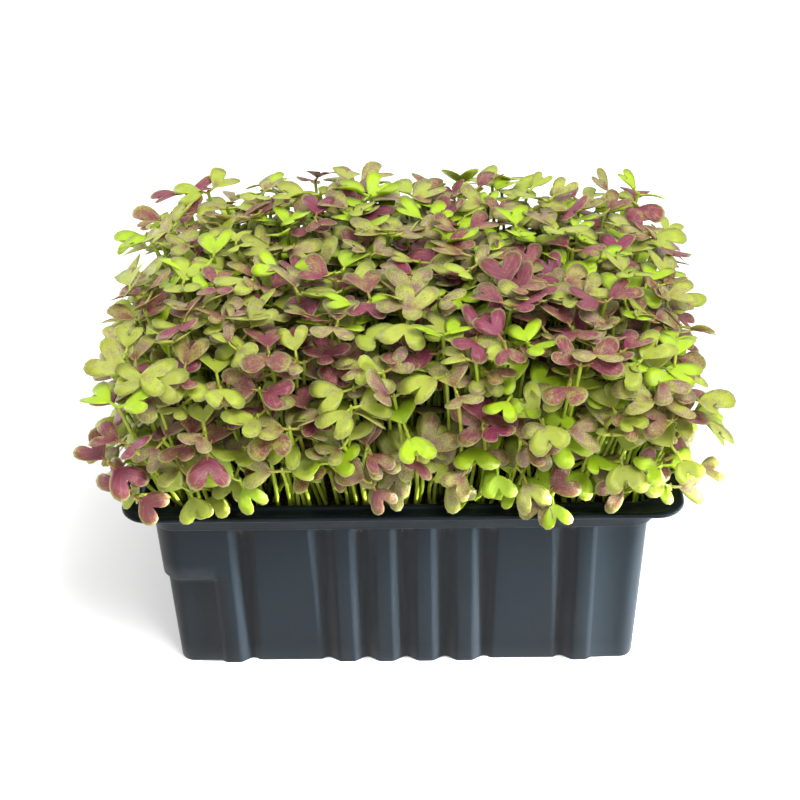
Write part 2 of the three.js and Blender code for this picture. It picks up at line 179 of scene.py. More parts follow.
def blend_colours(material, amount, first, second):
    """Mixes two colours, each a hex string or an output, by an output."""
    node = add_node(material, "ShaderNodeMix", {"data_type": "RGBA"}, i0=amount)
    for key, colour in ((6, first), (7, second)):
        if isinstance(colour, str):
            node.inputs[key].default_value = linear(colour)
        else:
            material.node_tree.links.new(colour, node.inputs[key])
    return node.outputs[2]


def sums(material, operation, first, second=None, third=None, clamp=False):
    """A Math node on outputs or plain numbers."""
    node = add_node(material, "ShaderNodeMath", {"operation": operation, "use_clamp": clamp})
    for key, value in enumerate((first, second, third)):
        if value is None:
            continue
        if isinstance(value, (int, float)):
            node.inputs[key].default_value = value
        else:
            material.node_tree.links.new(value, node.inputs[key])
    return node.outputs[0]


def step_between(material, value, low, high):
    """0 below low and 1 above high, with a smooth rise between."""
    node = add_node(
        material, "ShaderNodeMapRange",
        {"interpolation_type": "SMOOTHSTEP", 1: low, 2: high}, i0=value,
    )
    return node.outputs[0]


def noise_of(material, coordinates, size, detail=3.0, rough=0.55):
    """Noise of about this size in millimetres."""
    settings = {"Scale": per_mm(size), "Detail": detail, "Roughness": rough}
    return add_node(material, "ShaderNodeTexNoise", settings, Vector=coordinates).outputs["Fac"]


def bump(material, shader, height, depth, strength):
    """Relief of a depth in millimetres on the shader's normal."""
    settings = {"Strength": strength, "Distance": depth * MM}
    node = add_node(material, "ShaderNodeBump", settings, Height=height)
    material.node_tree.links.new(node.outputs["Normal"], shader.inputs["Normal"])


# Materials

def polypropylene():
    """Injection-moulded polypropylene, pigmented a deep slate blue.

    The eye gets a satin skin, a little cloudy, with a faint grain along the draw of the mould, and painted
    shade that darkens it towards the bottom.
    """
    material, shader = new_material(
        "moulded_polypropylene", Roughness=0.36, IOR=1.49, Specular_IOR_Level=0.12,
    )
    links = material.node_tree.links
    place = add_node(material, "ShaderNodeTexCoord").outputs["Object"]
    cloudy = noise_of(material, place, 26)
    stretch = add_node(material, "ShaderNodeMapping", {"Scale": (1.0, 1.0, 0.06)}, Vector=place).outputs[0]
    drawn = noise_of(material, stretch, 1.6)
    grain = noise_of(material, place, 0.5, detail=2.0)
    height = add_node(material, "ShaderNodeSeparateXYZ", Vector=place).outputs["Z"]
    tint = blend_colours(material, step_between(material, cloudy, 0.35, 0.7), "#091015", "#0b1318")
    # Painted shade: the colour darkens towards the bottom of the tray, near the floor
    low = step_between(material, height, 0.0, TRAY_HEIGHT * MM)
    tint = blend_colours(material, low, "#070c10", tint)
    flow = step_between(material, drawn, 0.45, 0.8)
    tint = blend_colours(material, sums(material, "MULTIPLY", flow, 0.25), tint, "#0f181d")
    links.new(tint, shader.inputs["Base Color"])
    rough = sums(material, "MULTIPLY_ADD", cloudy, 0.12, 0.28)
    links.new(sums(material, "MULTIPLY_ADD", drawn, 0.06, rough), shader.inputs["Roughness"])
    relief = sums(material, "MULTIPLY_ADD", drawn, 0.6, grain)
    bump(material, shader, relief, 0.02, 0.2)
    return material


def coir():
    """Moist coir crumb: dark brown, matt and coarse, with paler fibres and painted shade in the gaps between
    the crumbs.
    """
    material, shader = new_material("coir_crumb", Roughness=0.92, Specular_IOR_Level=0.25)
    links = material.node_tree.links
    place = add_node(material, "ShaderNodeTexCoord").outputs["Object"]
    cells = add_node(material, "ShaderNodeTexVoronoi", {"Scale": per_mm(1.7)}, Vector=place)
    crumb = cells.outputs["Distance"]
    fibre = noise_of(material, place, 0.9, detail=5.0, rough=0.7)
    # Painted shade in the gaps: each crumb darkens towards its edge, where the relief dips between crumbs
    tint = blend_colours(material, step_between(material, crumb, 0.1, 0.6), "#5a4430", "#1d140d")
    tint = blend_colours(material, step_between(material, fibre, 0.56, 0.7), tint, "#8a6f4c")
    links.new(tint, shader.inputs["Base Color"])
    bump(material, shader, sums(material, "SUBTRACT", fibre, crumb), 0.9, 0.8)
    return material


def leaf_tissue(variety, green, dusk, mottled):
    """Seed leaf: thin waxy tissue that lets light through.

    The eye gets a mottled skin, a pale margin and a midrib that is flushed crimson near its stalk, with
    painted shade on leaves deep in the stand.
    """
    material, shader = new_material(
        "leaf_tissue_" + variety, Roughness=0.46, IOR=1.42, Specular_IOR_Level=0.45,
        Subsurface_Weight=0.3, Subsurface_Scale=0.0012, Subsurface_Radius=(1.0, 1.0, 0.25),
    )
    links = material.node_tree.links
    place = add_node(material, "ShaderNodeTexCoord").outputs["Object"]
    uv = add_node(material, "ShaderNodeUVMap", {"uv_map": "leaf"}).outputs[0]
    tint = add_node(material, "ShaderNodeVertexColor", {"layer_name": "tint"}).outputs[0]
    # The tint's third channel carries painted shade: 1 for a leaf in the light, lower for one deep in the
    # stand
    flush, lime, light = add_node(material, "ShaderNodeSeparateColor", Color=tint).outputs[:3]
    across, along, _ = add_node(material, "ShaderNodeSeparateXYZ", Vector=uv).outputs
    side = sums(material, "ABSOLUTE", sums(material, "MULTIPLY_ADD", across, 2.0, -1.0))

    grain = noise_of(material, place, 0.45, detail=4.0, rough=0.65)
    patch = noise_of(material, place, 4.5, detail=2.0)
    reach = sums(material, "MULTIPLY_ADD", patch, 1.1, -0.55)
    reach = sums(material, "ADD", reach, flush)
    speckled = sums(material, "MULTIPLY_ADD", sums(material, "SUBTRACT", grain, 0.5), 2.4 * mottled, reach)
    cover = step_between(material, speckled, 0.2, 0.85)

    fresh = blend_colours(material, lime, green, "#a8ca12")
    patchy = sums(material, "MULTIPLY", step_between(material, patch, 0.3, 0.75), 0.35)
    fresh = blend_colours(material, patchy, fresh, "#83973e")
    skin = blend_colours(material, cover, fresh, dusk)
    veins = sums(material, "PINGPONG", sums(material, "MULTIPLY_ADD", side, -0.06, along), 0.085)
    vein = sums(material, "SUBTRACT", 1.0, step_between(material, veins, 0.004, 0.02))
    skin = blend_colours(material, sums(material, "MULTIPLY", vein, 0.1), skin, "#c3c98a")
    margin = step_between(material, side, 0.86, 0.98)
    skin = blend_colours(material, sums(material, "MULTIPLY", margin, 0.5), skin, "#c9d070")
    rib = sums(material, "SUBTRACT", 1.0, step_between(material, side, 0.04, 0.5))
    near_stalk = sums(material, "SUBTRACT", 1.0, step_between(material, along, 0.12, 0.62))
    crimson = sums(material, "MULTIPLY", rib, near_stalk)
    crimson = sums(material, "MULTIPLY", crimson, step_between(material, flush, 0.12, 0.5))
    crimson = sums(material, "MULTIPLY", crimson, 0.9)
    skin = blend_colours(material, crimson, skin, "#6e1238")
    # Painted shade: a leaf deep in the stand is darkened towards a dark green
    skin = blend_colours(material, light, "#3c4c0a", skin)
    links.new(skin, shader.inputs["Base Color"])
    relief = sums(material, "MULTIPLY_ADD", vein, -0.6, grain)
    bump(material, shader, relief, 0.12, 0.5)
    return material


def stem_tissue():
    """Seedling stem: smooth watery tissue that lets light through.

    The eye gets a pale yellow-green with painted shade deep in the stand, and some stalks flushed crimson.
    """
    material, shader = new_material(
        "stem_tissue", Roughness=0.4, IOR=1.4, Specular_IOR_Level=0.45,
        Subsurface_Weight=0.35, Subsurface_Scale=0.0015, Subsurface_Radius=(0.8, 1.0, 0.3),
    )
    links = material.node_tree.links
    place = add_node(material, "ShaderNodeTexCoord").outputs["Object"]
    tint = add_node(material, "ShaderNodeVertexColor", {"layer_name": "tint"}).outputs[0]
    flush, lime, light = add_node(material, "ShaderNodeSeparateColor", Color=tint).outputs[:3]
    patch = noise_of(material, place, 5)
    skin = blend_colours(material, step_between(material, patch, 0.3, 0.7), "#93a324", "#b4bf4e")
    skin = blend_colours(material, lime, skin, "#8fb012")
    skin = blend_colours(material, flush, skin, "#7c1f3c")
    # Painted shade: stems deep in the stand are darkened towards a dark olive green
    skin = blend_colours(material, light, "#56680f", skin)
    links.new(skin, shader.inputs["Base Color"])
    return material


TRAY_PLASTIC = polypropylene()
MEDIUM_CRUMB = coir()
LEAF_TISSUES = {
    "olive": leaf_tissue("olive", "#a3a943", "#8c6268", 1.0),
    "purple": leaf_tissue("purple", "#9c964d", "#7c2d4b", 0.7),
    "lime": leaf_tissue("lime", "#a2c218", "#9c8b48", 0.8),
}
STEM_TISSUE = stem_tissue()


def finished(name, mesh, materials, slot, *nodes):
    """A mesh as a piece of the tray, in place of its CAD nodes."""
    piece = bpy.data.objects.new(name, mesh)
    bpy.context.collection.objects.link(piece)
    for material in materials:
        mesh.materials.append(material)
    mesh.shade_smooth()
    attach(piece, "root")
    if nodes:
        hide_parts(*nodes)
    return piece


# Tray: rings of points round the wall, from the underside up, over the flange and down inside

def smooth(value):
    """0 at or below 0, 1 at or above 1, with a smooth rise between."""
    value = min(max(value, 0.0), 1.0)
    return value * value * (3 - 2 * value)


def groove_centres(outer_groove, inner_grooves):
    inner = [i * GROOVE_PITCH for i in range(-inner_grooves, inner_grooves + 1)]
    return inner + [-outer_groove, outer_groove]


def side_breaks(outer_groove, inner_grooves):
    """Distances along a side where its relief is sampled: fine in the grooves and coarse between them."""
    centres = groove_centres(outer_groove, inner_grooves)
    shares = [-1, -0.95, -0.88, -0.78, -0.64, -0.45, -0.22, 0, 0.22, 0.45, 0.64, 0.78, 0.88, 0.95, 1]
    breaks = [c + s * GROOVE_HALF_WIDTH for c in centres for s in shares]
    crest = outer_groove + GROOVE_HALF_WIDTH + CREST_WIDTH
    for sign in (-1, 1):
        breaks += [sign * (crest + FLANK_WIDTH * share) for share in (0, 0.25, 0.5, 0.75, 1)]
    return sorted(breaks)


SIDES = [
    (OUTER_GROOVE_OFFSET, 2, side_breaks(OUTER_GROOVE_OFFSET, 2)),
    (OUTER_GROOVE_OFFSET_SHORT, 1, side_breaks(OUTER_GROOVE_OFFSET_SHORT, 1)),
]
CORNER_STEPS = 8


def relief(u, z, outer_groove, inner_grooves, lug_at):
    """How deep the wall lies behind its crests. lug_at is the side's end that has the lug, -1 or 1."""
    centres = groove_centres(outer_groove, inner_grooves)
    nearest = min(min(abs(u - c) for c in centres) / GROOVE_HALF_WIDTH, 1)
    groove = math.cos(nearest * math.pi / 2) ** 2 * GROOVE_FULLNESS
    start = min(max((COLLAR_FOOT - 0.2 - z) / GROOVE_RUN_OUT, 0), 1)
    run_out = math.sqrt(1 - (1 - start) ** 2)
    panel_from = inner_grooves * GROOVE_PITCH
    on_panel = 1.0 if panel_from < abs(u) < outer_groove else 0.0
    panel = PANEL_DEPTH * min(max(1 - z / COLLAR_FOOT, 0), 1) * on_panel
    crest = outer_groove + GROOVE_HALF_WIDTH + CREST_WIDTH
    corner = smooth((abs(u) - crest) / FLANK_WIDTH) * corner_recess(z, u * lug_at > 0)
    return max(groove * GROOVE_DEPTH * run_out, panel) + corner


def corner_recess(z, has_lug):
    """The corner panels lie back; the lug fills them from its foot up to the collar."""
    filled = smooth((z - LUG_FOOT) / 0.7) if has_lug else 0.0
    return CORNER_DEPTH * (1 - filled)


def rim_ring(inset, z, radius, behind=0.0, fluted=None):
    """One level of the tray as points in order, seen from above anticlockwise from the front's left end."""
    half_x = RIM_LENGTH / 2 - inset
    half_y = RIM_WIDTH / 2 - inset
    points = []
    for turn in range(4):
        outer_groove, inner_grooves, breaks = SIDES[turn % 2]
        half, end = (half_y, half_x) if turn % 2 == 0 else (half_x, half_y)
        lug_at = -1 if turn % 2 == 0 else 1
        stretch = (end - radius) / (breaks[-1] + 1.0)
        angle = turn * math.pi / 2
        turned = Matrix.Rotation(angle, 2)
        for u in breaks:
            depth = behind
            if fluted is not None:
                depth += relief(u, fluted, outer_groove, inner_grooves, lug_at)
            across = u if fluted is not None and abs(u) < breaks[-1] else u * stretch
            points.append(turned @ Vector((across, -(half - depth))))
        recess = behind
        if fluted is not None:
            recess += corner_recess(fluted, turn % 2 == 1)
        centre = turned @ Vector((end - radius, -(half - radius)))
        for step in range(CORNER_STEPS + 1):
            a = angle - math.pi / 2 + step / CORNER_STEPS * math.pi / 2
            reach = max(radius - recess, 0.6)
            points.append(centre + Vector((math.cos(a), math.sin(a))) * reach)
    return [Vector((p.x, p.y, z)) * MM for p in points]


def crest_inset(z):
    return WALL_INSET_BOTTOM + (WALL_INSET_TOP - WALL_INSET_BOTTOM) * z / COLLAR_FOOT


def wall_radius(z):
    return FOOT_RADIUS + (WALL_RADIUS - FOOT_RADIUS) * z / COLLAR_FOOT


def tray_levels():
    """The tray's rings from the middle of the underside to the middle of the inside floor."""
    rings = []
    foot = [(FOOT_ROUND * 2.4, 0.0), (FOOT_ROUND, 0.0), (FOOT_ROUND * 0.5, 0.16), (FOOT_ROUND * 0.15, 0.55)]
    for back, z in foot:
        rings.append(rim_ring(crest_inset(0), z, FOOT_RADIUS, back, 0.0))
    heights = [1.2, 8, 16, 24, 32]
    heights += [LUG_FOOT + rise for rise in (-2, 0, 0.25, 0.5, 0.8)]
    heights += [46, 53]
    heights += [COLLAR_FOOT - drop for drop in (4, 3, 2.2, 1.5, 0.9, 0.5, 0.3, 0.15, 0)]
    for z in heights:
        rings.append(rim_ring(crest_inset(z), z, wall_radius(z), 0.0, z))
    section = [
        (8.55, COLLAR_FOOT), (8.4, COLLAR_FOOT + 0.15), (8.3, COLLAR_FOOT + 0.5), (7.2, 69.4), (6.9, 69.85),
        (6.4, 70.0), (1.5, 70.0), (1.0, 70.1), (0.5, 70.4), (0.15, 70.7), (0.0, 71.0), (0.0, 71.5),
        (0.08, 71.75), (0.3, 71.93), (0.7, 72.0), (1.4, 72.0), (1.8, 71.9), (2.3, 71.5), (2.7, 71.2),
        (3.2, 71.08), (5.2, 71.08), (5.6, 71.2), (6.0, 71.6), (6.35, 71.85), (6.75, 71.9), (7.2, 71.85),
        (7.6, 71.6), (7.85, 71.1), (8.6, 67.0), (9.5, 63.4),
    ]
    for inset, z in section:
        inner = min(max(inset - 7, 0) / 1.5, 1)
        radius = RIM_RADIUS - (RIM_RADIUS - WALL_RADIUS) * inner
        rings.append(rim_ring(inset, z, radius))
    for z in (COLLAR_FOOT, 58, 54, 3.0):
        rings.append(rim_ring(crest_inset(z), z, wall_radius(z), WALL, z))
    rings.append(rim_ring(crest_inset(0), FLOOR, FOOT_RADIUS, WALL + 1.5, 0.0))
    return rings


def lofted(name, rings):
    """A closed mesh over rings that have their points in the same order, capped at both ends."""
    bm = bmesh.new()
    levels = [[bm.verts.new(point) for point in ring] for ring in rings]
    for lower, upper in zip(levels, levels[1:]):
        for i in range(len(lower)):
            bm.faces.new((lower[i - 1], lower[i], upper[i], upper[i - 1]))
    bm.faces.new(levels[0][::-1])
    bm.faces.new(levels[-1])
    bmesh.ops.recalc_face_normals(bm, faces=bm.faces)
    mesh = bpy.data.meshes.new(name)
    bm.to_mesh(mesh)
    bm.free()
    return mesh


def make_tray():
    finished("punnet", lofted("punnet", tray_levels()), [TRAY_PLASTIC], "tray_plastic", "tray")


# Growing medium: rings that follow the inside of the wall, then rings that shrink over its crumbly top

def make_medium():
    low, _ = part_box("growing_medium")
    behind = WALL + MEDIUM_CLEARANCE
    heights = [low.z / MM, 12, 24, 36, 48, MEDIUM_TOP - 3.6, MEDIUM_TOP - 1.2]
    rings = [rim_ring(crest_inset(min(z, COLLAR_FOOT)), z, wall_radius(z), behind, z) for z in heights]
    edge = rings[-1]
    for step in range(1, MEDIUM_RINGS):
        share = 1 - step / MEDIUM_RINGS
        ring = []
        for point in edge:
            x, y = point.x / MM * share, point.y / MM * share
            spot = Vector((x, y, 0))
            crumb = noise.noise(spot / 2.1) * 0.9 + noise.noise(spot / 0.9) * 0.45 + noise.noise(spot / 14)
            ring.append(Vector((x, y, MEDIUM_TOP - 0.5 + crumb)) * MM)
        rings.append(ring)
    mesh = lofted("coir_slab", rings)
    finished("coir_slab", mesh, [MEDIUM_CRUMB], "growing_medium", "growing_medium")


make_tray()
make_medium()


# Seedlings: the seeded rule that the bunches grow by

def seeded(seed):
    """A repeatable source of numbers from 0 to 1."""
    whole = 0xFFFFFFFF
    state = seed

    def draw():
        nonlocal state
        state = (state + 0x6D2B79F5) & whole
        t = ((state ^ (state >> 15)) * (state | 1)) & whole
        t ^= (t + (((t ^ (t >> 7)) * (t | 61)) & whole)) & whole
        return (t ^ (t >> 14)) / 4294967296

    return lambda low, high: low + (high - low) * draw()


def spin(axis, angle):
    c, s = math.cos(angle), math.sin(angle)
    return np.array({
        "x": [[1, 0, 0], [0, c, -s], [0, s, c]],
        "y": [[c, 0, s], [0, 1, 0], [-s, 0, c]],
        "z": [[c, -s, 0], [s, c, 0], [0, 0, 1]],
    }[axis])


# Half outline of a leaf in the plain solids, as shares of its length along and across
PLAIN_OUTLINE = [(0, 0.09), (0.34, 0.42), (0.7, 0.52), (0.98, 0.3), (0.7, 0)]


def leaf_at(between, head, azimuth):
    pitch = between(0.12, 0.62)
    roll = between(-0.3, 0.3)
    return {
        "turn": spin("z", azimuth) @ spin("y", -pitch) @ spin("x", roll),
        "head": head,
        "length": LEAF_LENGTH * between(0.88, 1.16),
        "fold": between(0.12, 0.42),
        "droop": between(0.25, 0.75),
        "stalk": 1.0,
    }


def on_leaf(leaf, along, across, lift=0.0):
    """Points of the leaf, from shares of its length along it and across it from its midline."""
    y = across * leaf["length"] * LEAF_SPREAD
    z = abs(y) * leaf["fold"] - along * along * leaf["length"] * leaf["droop"] + lift
    x = STALK_LENGTH * leaf["stalk"] + along * leaf["length"]
    return np.stack([x, y, z], -1) @ leaf["turn"].T + leaf["head"]


def stem_points(seedling, shares):
    t = np.asarray(shares)[:, None]
    points = seedling["root"] + (seedling["head"] - seedling["root"]) * t
    points[:, :2] += seedling["bow"] * 4 * t * (1 - t)
    return points


def probe_shares():
    """Each probe of a leaf as shares of its nine outline points and, last, of the seedling's head."""
    point = np.eye(10)
    foot = (point[0] + point[8]) / 2
    notch = point[4]
    heart = foot + (notch - foot) * 0.6
    shares = [(foot + point[9]) / 2, foot, notch, (foot + notch) / 2]
    for i in range(1, 8):
        shares += [point[i], (point[i] + heart) / 2]
        if i < 7:
            shares.append((point[i] + point[i + 1]) / 2)
    return np.array(shares)


PROBE_SHARES = probe_shares()
STEM_SHARES = 0.02 + 0.035 * np.arange(28)
OUTLINE_ALONG = np.array([p[0] for p in PLAIN_OUTLINE] + [p[0] for p in PLAIN_OUTLINE[-2::-1]])
OUTLINE_ACROSS = np.array([-p[1] for p in PLAIN_OUTLINE] + [p[1] for p in PLAIN_OUTLINE[-2::-1]])


def probes(seedling):
    """Points along the stem and over both leaves, which keep their distance from the neighbours'."""
    points = [stem_points(seedling, STEM_SHARES)]
    for leaf in seedling["leaves"]:
        outline = on_leaf(leaf, OUTLINE_ALONG, OUTLINE_ACROSS)
        points.append(PROBE_SHARES @ np.vstack([outline, seedling["head"]]))
    return np.concatenate(points)


def clear_of_tray(points):
    mouth_x = RIM_LENGTH / 2 - MOUTH_INSET - RIM_CLEARANCE
    mouth_y = RIM_WIDTH / 2 - MOUTH_INSET - RIM_CLEARANCE
    inside = (abs(points[:, 0]) < mouth_x) & (abs(points[:, 1]) < mouth_y)
    return bool(((points[:, 2] > TRAY_HEIGHT + RIM_CLEARANCE) | inside).all())


class Stand:
    """The seedlings placed so far, by their probes."""

    def __init__(self, room):
        self.count = 0
        self.points = np.zeros((room, len(STEM_SHARES) + 2 * len(PROBE_SHARES), 3))
        self.lows = np.zeros((room, 3))
        self.highs = np.zeros((room, 3))
        self.bunches = np.zeros(room)

    def add(self, points, bunch):
        self.points[self.count] = points
        self.lows[self.count] = points.min(0) - MIN_GAP
        self.highs[self.count] = points.max(0) + MIN_GAP
        self.bunches[self.count] = bunch
        self.count += 1

    def gap(self, points, bunch):
        """The least distance to the placed ones. Those of its own bunch may be near its root."""
        lows, highs = self.lows[:self.count], self.highs[:self.count]
        near = np.flatnonzero(((lows < points.max(0)) & (highs > points.min(0))).all(1))
        if not len(near):
            return NOTHING_NEAR
        others = self.points[near].reshape(-1, 3)
        squares = (points ** 2).sum(1)[:, None] + (others ** 2).sum(1)[None] - 2 * points @ others.T
        squares = squares.reshape(len(points), len(near), -1)
        rooted = np.flatnonzero(points[:, 2] <= MEDIUM_TOP + ROOT_ZONE)
        kin = np.flatnonzero(self.bunches[near] == bunch)
        squares[np.ix_(rooted, kin)] = NOTHING_NEAR ** 2
        return math.sqrt(max(squares.min(), 0))


def bunch_centres():
    inset = WALL_INSET_TOP + WALL + BUNCH_INSET
    pitch_x = (RIM_LENGTH - 2 * inset) / (CELLS_X - 1)
    pitch_y = (RIM_WIDTH - 2 * inset) / (CELLS_Y - 1)
    return [
        {
            "row": row,
            "column": column,
            "x": (column - (CELLS_X - 1) / 2) * pitch_x,
            "y": (row - (CELLS_Y - 1) / 2) * pitch_y,
            "edge": row in (0, CELLS_Y - 1) or column in (0, CELLS_X - 1),
            "variety": VARIETIES[(row * 3 + column * 2 + row % 2) % len(VARIETIES)],
        }
        for row in range(CELLS_Y)
        for column in range(CELLS_X)
    ]


CENTRES = bunch_centres()


def canopy_height(x, y):
    ex = abs(x) / (CANOPY_LENGTH / 2)
    ey = abs(y) / (CANOPY_WIDTH / 2)
    return CANOPY_TOP - CANOPY_EDGE_DROP * (ex ** 4 + ey ** 4)


def draw_seedling(between, centre, index, count, patience):
    spread_x = CANOPY_LENGTH / (2 * abs(CENTRES[0]["x"]) + 24)
    spread_y = CANOPY_WIDTH / (2 * abs(CENTRES[0]["y"]) + 24)
    turn = (2 * math.pi * (index + centre["column"] * 0.37 + centre["row"] * 0.61)) / count
    ring = 8 if count == INNER_SEEDLINGS else 10
    stray = 3 + 5 * patience
    x = (centre["x"] + ring * math.cos(turn) + between(-stray, stray)) * spread_x
    y = (centre["y"] + ring * math.sin(turn) + between(-stray, stray)) * spread_y
    out = max(abs(x) / (CANOPY_LENGTH / 2), abs(y) / (CANOPY_WIDTH / 2))
    low = between(0, EDGE_HEAD_DROP) * (index % 2) if out > 0.84 else between(0, HEAD_DROP)
    head = np.array([x, y, canopy_height(x, y) - low - patience * SINK_WHEN_CROWDED])
    azimuth = between(0, 2 * math.pi)
    foot_turn = turn + between(-0.3, 0.3)
    foot = PLUG_RADIUS * 0.62
    root = np.array([
        centre["x"] + foot * math.cos(foot_turn),
        centre["y"] + foot * math.sin(foot_turn),
        MEDIUM_TOP + PLUG_RISE * 0.4,
    ])
    bow = np.array([between(-2, 2) - x * 0.012, between(-2, 2) - y * 0.012])
    first = leaf_at(between, head, azimuth)
    return {
        "root": root,
        "head": head,
        "bow": bow,
        "leaves": [first, leaf_at(between, head, azimuth + math.pi + between(-0.35, 0.35))],
    }


def grow_bunches():
    """The bunches of the plain solids, drawn again from the same seed."""
    between = seeded(SEED)
    stand = Stand(STAND_ROOM)
    bunches = []
    for bunch, centre in enumerate(CENTRES):
        count = EDGE_SEEDLINGS if centre["edge"] else INNER_SEEDLINGS
        members = []
        for index in range(count):
            for attempt in range(TRIES):
                seedling = draw_seedling(between, centre, index, count, attempt / TRIES)
                points = probes(seedling)
                if clear_of_tray(points) and stand.gap(points, bunch) > MIN_GAP:
                    stand.add(points, bunch)
                    members.append(seedling)
                    break
        bunches.append(members)
    return bunches, stand


# Seedlings between the bunches: sown on a jittered grid, with heads at every height of the stand
SOWING_PITCH = 5.0
SOWN_HALF_X = 76.5
SOWN_HALF_Y = 56.5
SOWN_REACH_X = 87
SOWN_REACH_Y = 65
SOWN_SIZES = (0.84, 1.08)
SOWN_TRIES = 8
SOWN_GAP = 1.2
STAND_ROOM = 2000
RIM_ROW_PITCH = 4.6
THIN_AT_BACK = 0.3
OLIVE_BELOW = 0.47
PURPLE_BELOW = 0.77
HEAD_STRAY = 5
LOW_HEADS = (2, 34)
SHORT_BELOW = 100
RIM_ROW_HALF_X = 78.6
RIM_ROW_HALF_Y = 58.6


def lean(axis, angle):
    """A turn that leans what stands upright towards an axis in the plan."""
    c, s = math.cos(angle), math.sin(angle)
    x, y = axis
    return np.array([
        [1 + (c - 1) * x * x, (c - 1) * x * y, s * x],
        [(c - 1) * x * y, 1 + (c - 1) * y * y, s * y],
        [-s * x, -s * y, c],
    ])


def outward(x, y):
    """The direction in plan towards the nearest side, rounded over the corners."""
    way = np.array([(x / SOWN_REACH_X) ** 5, (y / SOWN_REACH_Y) ** 5])
    return way / (np.linalg.norm(way) + 1e-9)


def draw_sown(between, x, y, low):
    """A seedling rooted at x, y. At the edge it leans out, and a low one hangs its leaves over the rim."""
    head_x = x * SOWN_REACH_X / SOWN_HALF_X + between(-HEAD_STRAY, HEAD_STRAY)
    head_y = y * SOWN_REACH_Y / SOWN_HALF_Y + between(-HEAD_STRAY, HEAD_STRAY)
    out = max(abs(head_x) / (CANOPY_LENGTH / 2), abs(head_y) / (CANOPY_WIDTH / 2))
    edge = smooth((out - 0.78) / 0.16)
    tier = between(0, 1)
    top = canopy_height(head_x, head_y)
    if low:
        drop = top - TRAY_HEIGHT - between(*LOW_HEADS)
    elif tier < 0.6 - 0.3 * edge:
        drop = between(-6, 9)
    elif tier < 0.85 - 0.3 * edge:
        drop = between(8, 24)
    else:
        drop = between(18, 30 + 16 * edge)
    head = np.array([head_x, head_y, max(top - drop, TRAY_HEIGHT + 2)])
    way = outward(head_x, head_y)
    short = smooth((SHORT_BELOW - head[2]) / 20) * edge
    bow = np.array([between(-2.5, 2.5), between(-2.5, 2.5)]) - way * edge * (1.5 + 4 * short)
    azimuth = between(0, 2 * math.pi)
    leaves = [leaf_at(between, head, azimuth)]
    leaves.append(leaf_at(between, head, azimuth + math.pi + between(-0.6, 0.6)))
    tilt = lean(way, edge * (0.35 + 0.5 * short) + between(-0.1, 0.15))
    toss = between(0, 2 * math.pi)
    tilt = lean((math.cos(toss), math.sin(toss)), between(0, 0.35)) @ tilt
    size = between(*SOWN_SIZES)
    for leaf in leaves:
        leaf["turn"] = tilt @ leaf["turn"]
        leaf["length"] *= size * between(0.92, 1.06)
        leaf["stalk"] = between(0.35, 0.75)
        leaf["fold"] *= between(0.1, 0.9)
        leaf["droop"] *= between(0.2, 0.9)
    return {"root": np.array([x, y, MEDIUM_TOP - 1.5]), "head": head, "bow": bow, "leaves": leaves}


def grid_spots(between):
    columns = int(2 * SOWN_HALF_X / SOWING_PITCH)
    rows = int(2 * SOWN_HALF_Y / SOWING_PITCH)
    for row in range(rows + 1):
        for column in range(columns + 1):
            x = -SOWN_HALF_X + column * 2 * SOWN_HALF_X / columns + between(-1.6, 1.6)
            y = -SOWN_HALF_Y + row * 2 * SOWN_HALF_Y / rows + between(-1.6, 1.6)
            yield x, y, False


def rim_spots(between):
    """A row of short seedlings along each wall."""
    rows = ((RIM_ROW_HALF_X, RIM_ROW_HALF_Y, False), (RIM_ROW_HALF_Y, RIM_ROW_HALF_X, True))
    for half_x, half_y, turned in rows:
        count = int(2 * (half_x - 4) / RIM_ROW_PITCH)
        for side in (-1, 1):
            for i in range(count + 1):
                u = -(half_x - 4) + i * 2 * (half_x - 4) / count + between(-1.5, 1.5)
                v = side * (half_y - between(0, 1.5))
                yield (v, u, True) if turned else (u, v, True)


def sow(stand):
    """Seedlings on the rim's and the grid's spots, each the roomiest of a few draws."""
    between = seeded(SEED + 1)
    sown = []
    for x, y, low in list(rim_spots(between)) + list(grid_spots(between)):
        if between(0, 1) < THIN_AT_BACK * smooth((y - 10) / 40):
            continue
        best, best_gap, best_points = None, 0.0, None
        for _ in range(SOWN_TRIES):
            seedling = draw_sown(between, x, y, low)
            points = probes(seedling)
            if not clear_of_tray(points):
                continue
            gap = stand.gap(points, -1)
            if gap > best_gap:
                best, best_gap, best_points = seedling, gap, points
            if best_gap > SOWN_GAP:
                break
        if best is not None:
            stand.add(best_points, -2)
            sown.append(best)
    return sown


# Seedling meshes. Half outline of a leaf, from its foot round the lobe to the notch
LEAF_MARGIN = np.array([
    (0.0, 0.05), (0.1, 0.15), (0.24, 0.3), (0.42, 0.44), (0.62, 0.54), (0.8, 0.565), (0.95, 0.49),
    (1.0, 0.34), (0.95, 0.2), (0.82, 0.1), (0.66, 0.045), (0.57, 0.015),
])
LEAF_RIB = np.array([0.0, 0.04, 0.1, 0.17, 0.25, 0.32, 0.38, 0.43, 0.47, 0.5, 0.53, 0.55])
LEAF_THICKNESS = 0.4
TUBE_SIDES = 5


